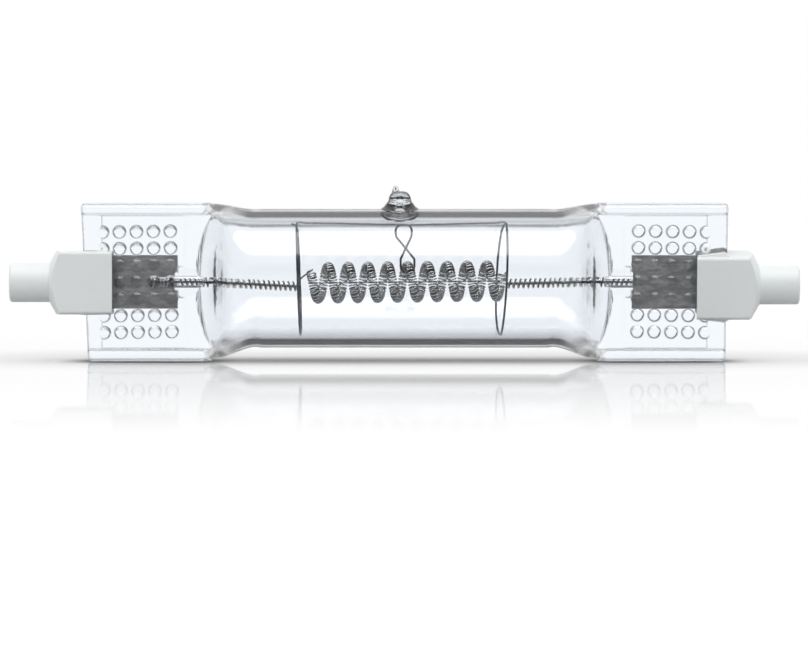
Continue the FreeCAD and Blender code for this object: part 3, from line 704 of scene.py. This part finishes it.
def table_finish():
    constants = {"Roughness": 0.6, "Specular_IOR_Level": 0.0, "Emission_Strength": 1.0}
    material, tree, shader = finish("table", **constants)
    x, y, _ = split(tree, place_on_object(tree))
    camera_ray, glossy_ray, through_ray = outputs(
        tree, "ShaderNodeLightPath", "Is Camera Ray", "Is Glossy Ray", "Is Transmission Ray")
    long_way = abs(x)
    past_end = long_way.maths("MAXIMUM", long_way - BULB_HALF_LENGTH, 0.0)
    away = distance(past_end, y)
    # Painted shadow: the table's colour darkens near the bulb's line and, much more, under its beads.
    close = (1 - away.step(*CLOSE_REACH)) * (1 - through_ray)
    bead_shadow_zone = long_way.band(BEAD_START, BEAD_END, BEAD_SOFT) * (1 - abs(y).step(*BEAD_SIDES))

    lit = blend_colours(tree, close, FLOOR_GREY, PAINTED_SHADOW_GREY)
    lit = blend_colours(tree, bead_shadow_zone, lit, PAINTED_BEAD_SHADOW)
    colour = blend_colours(tree, through_ray, lit, NO_COLOUR)

    # The white glow fades in the painted shadow, so that the shadow shows.
    open_table = distance(past_end, y - SHADOW_BACK).step(0.0, SHADOW_REACH)
    glow = GLOW * camera_ray.maths("MAXIMUM", camera_ray, glossy_ray)
    glow = glow * (GLOW_IN_SHADOW + (1 - GLOW_IN_SHADOW) * open_table) * (1 - GLOW_LOST_IN_BEAD_SHADOW * bead_shadow_zone)
    glow_colour = blend_colours(tree, glow, NO_COLOUR, WHITE)
    # Painted shade seen through the glass: grey blue near the bulb's line, and darker still at its beads.
    under = node(tree, "ShaderNodeValToRGB", {"stops": PAINTED_SHADE_UNDER_BULB}, away / UNDER_REACH)
    under = blend_colours(tree, bead_shadow_zone * PAINTED_SHADOW_UNDER_BEAD_SHARE, under, PAINTED_SHADOW_UNDER_BEAD)
    shown = blend_colours(tree, through_ray, glow_colour, under)
    feed(tree, shader, Base_Color=colour, Emission_Color=shown)

    gloss = node(tree, "ShaderNodeBsdfGlossy", None, Color=WHITE, Roughness=MIRROR_ROUGHNESS)
    edge_on = node(tree, "ShaderNodeFresnel", None, IOR=MIRROR_IOR)
    # The gloss is weaker in the painted shadow.
    mirror_here = MIRROR_SHARE - MIRROR_LOST_IN_SHADOW * close
    mirror = (1 - away.step(*MIRROR_REACH)) * edge_on * mirror_here * (1 - bead_shadow_zone)
    surface = mix_shaders(tree, mirror, Sock(tree, shader.outputs[0]), gloss)
    clear = node(tree, "ShaderNodeBsdfTransparent")
    surface = mix_shaders(tree, through_ray * away.step(*UNDER_FADES), surface, clear)
    put(tree, tree.nodes["Material Output"].inputs["Surface"], surface)
    return material


bpy.ops.mesh.primitive_circle_add(vertices=FLOOR_CORNERS, radius=FLOOR_RADIUS, fill_type="NGON")
table = bpy.context.object
table.name = "table"
table.data.materials.append(table_finish())
print("table radius m", FLOOR_RADIUS)

# %% [markdown]
# The room is a white studio. A ray from the camera sees plain white, and rays that the glass hardly
# bends see white with a breath of blue. What else the glass and the metals see is what draws them, so
# the room is laid out for them as a photographer would. Strongly bent rays meet a dark ring round each
# of eight level ways, and it draws every edge of the glass as a thin line. The eight repeat all the way
# round, so the glass looks alike from any side. Rays that a metal inside the tube turned back meet
# darkness with one lamp high up in it, for near black wire with glints. Rays that were turned back
# inside a seal meet light grey with the same rings in it. Gloss outside the glass mirrors white, a
# greyer belt and the lamp. Matt pieces are lit by a soft sky that is brighter above.

# %% Room light
EIGHTH_TURN = math.radians(45)
RING_LOW = 0.24
RING_HIGH = 0.33
RING_SOFT = 0.012
RING_DARK = 0.85
RING_RISE_BELOW = 0.045
LEVEL_WIDTH = (0.06, 0.14)
LEVEL_LIGHTER = 0.1
PAST_RING = (0.33, 0.4)
PAST_RING_DARK = 0.5
LEVEL = (-0.02, 0.02)
LAMP_HEIGHT = (0.6, 0.7)
LAMP_SIDE = (-0.14, -0.04)
BACK = (0.3, 0.7)
CEILING = (0.7, 0.78)
CEILING_BRIGHT = 0.7
BELT = (0.14, 0.6, 0.06)
DARK_SIDE = (-0.75, -0.15)
DARK_TOP = (0.57, 0.67)
TUBE_LEVEL = 0.25
TUBE_DARKER = 0.22
TUBE_BEHIND = 0.35
TUBE_LAMP = 4.5
SEAL_LEVEL = 0.75
SEAL_RING = 0.45
SHINE_LEVEL = 0.95
SHINE_BELT = 0.6
SHINE_LAMP = 5.5
SKY_LEVEL = 0.68
SKY_RISE = 0.7
SEAL_WALLS = 2.5
THROUGH_TINT = (0.93, 0.965, 1.0)


def bent_light(aside, z):
    """What a ray sees that the glass has bent, and the dark ring alone."""
    below = 1 - z.step(*LEVEL)
    level_up = (1 - below) * (1 - abs(aside).step(*LEVEL_WIDTH))
    bend = (aside * aside + z * z) ** 0.5
    ring = (bend - RING_RISE_BELOW * below).band(RING_LOW, RING_HIGH, RING_SOFT)
    ring = ring * (1 - LEVEL_LIGHTER * level_up)
    outside = bend.step(*PAST_RING) * (1 - below)
    return 1 - RING_DARK * ring - PAST_RING_DARK * outside + CEILING_BRIGHT * z.step(*CEILING), ring


def room():
    world = bpy.data.worlds.new("studio")
    bpy.context.scene.world = world
    world.use_nodes = True
    tree = world.node_tree
    x, y, z = split(tree, node(tree, "ShaderNodeTexCoord", out="Generated"))
    round_way = x.maths("ARCTAN2", x, y)
    aside = round_way.maths("WRAP", round_way, EIGHTH_TURN / 2, -EIGHTH_TURN / 2)
    through, ring = bent_light(aside, z)

    lamp = z.step(*LAMP_HEIGHT) * (1 - y.step(*LAMP_SIDE))
    behind = y.step(*BACK)
    dark_side = (1 - y.step(*DARK_SIDE)) * (1 - z.step(*DARK_TOP))
    in_tube = TUBE_LEVEL - TUBE_DARKER * dark_side + TUBE_BEHIND * behind + TUBE_LAMP * lamp
    in_seal = SEAL_LEVEL - SEAL_RING * ring
    shine = SHINE_LEVEL - SHINE_BELT * z.band(*BELT) * (1 - behind) + SHINE_LAMP * lamp
    soft = SKY_LEVEL + SKY_RISE * z

    camera_ray, glossy_ray, through_ray, mirrors, walls = outputs(
        tree, "ShaderNodeLightPath", "Is Camera Ray", "Is Glossy Ray", "Is Transmission Ray",
        "Glossy Depth", "Transmission Depth")
    mirrored = mirrors.maths("MINIMUM", mirrors, 1.0)
    from_tube = walls.maths("GREATER_THAN", walls, SEAL_WALLS)
    turned_back = in_seal + from_tube * (in_tube - in_seal)
    through = through + mirrored * (turned_back - through)
    level = soft + glossy_ray * (shine - soft)
    level = level + through_ray * (through - level)
    level = level + camera_ray * (1 - level)
    background = tree.nodes["Background"]
    put(tree, background.inputs["Color"], blend_colours(tree, through_ray, WHITE, THROUGH_TINT))
    put(tree, background.inputs["Strength"], level)


room()
print("room light made")

# %% [markdown]
# The photograph was taken from far away with a long lens, almost level with the bulb: nothing in it
# gets smaller with depth. So the camera stands a metre away, and its lens is worked out from the bulb's
# length in the picture.

# %% Camera
PHOTO_WIDTH = 808
PHOTO_HEIGHT = 652
BULB_LEFT_PX = 10
BULB_RIGHT_PX = 799
FLOOR_LINE_PX = 361
CAMERA_DISTANCE = 1.0
CAMERA_RISE_DEG = 1.5
SENSOR = 36.0
NEAREST_SEEN = 0.05
FARTHEST_SEEN = 20.0

metres_per_px = (cad_high.x - cad_low.x) / (BULB_RIGHT_PX - BULB_LEFT_PX)
camera_data = bpy.data.cameras.new("camera")
camera_data.sensor_width = SENSOR
camera_data.lens = SENSOR * CAMERA_DISTANCE / (PHOTO_WIDTH * metres_per_px)
camera_data.clip_start = NEAREST_SEEN
camera_data.clip_end = FARTHEST_SEEN
camera = bpy.data.objects.new("camera", camera_data)
bpy.context.scene.collection.objects.link(camera)
rise = math.radians(CAMERA_RISE_DEG)
look_z = (FLOOR_LINE_PX - PHOTO_HEIGHT / 2) * metres_per_px
look_x = (PHOTO_WIDTH / 2 - (BULB_LEFT_PX + BULB_RIGHT_PX) / 2) * metres_per_px
camera.location = (look_x, -CAMERA_DISTANCE * math.cos(rise), look_z + CAMERA_DISTANCE * math.sin(rise))
camera.rotation_euler = (math.pi / 2 - rise, 0.0, 0.0)
bpy.context.scene.camera = camera
bpy.context.scene.view_settings.view_transform = "Standard"
print("lens mm", round(camera_data.lens, 1), "mm in a pixel", round(metres_per_px / MM, 4))

# %% [markdown]
# Last, the scene is brought up to date. The dressed model has to lie inside the box of the solids, or
# else something that was added sticks out of the real bulb.

# %% Bring the scene up to date
bpy.context.view_layer.update()
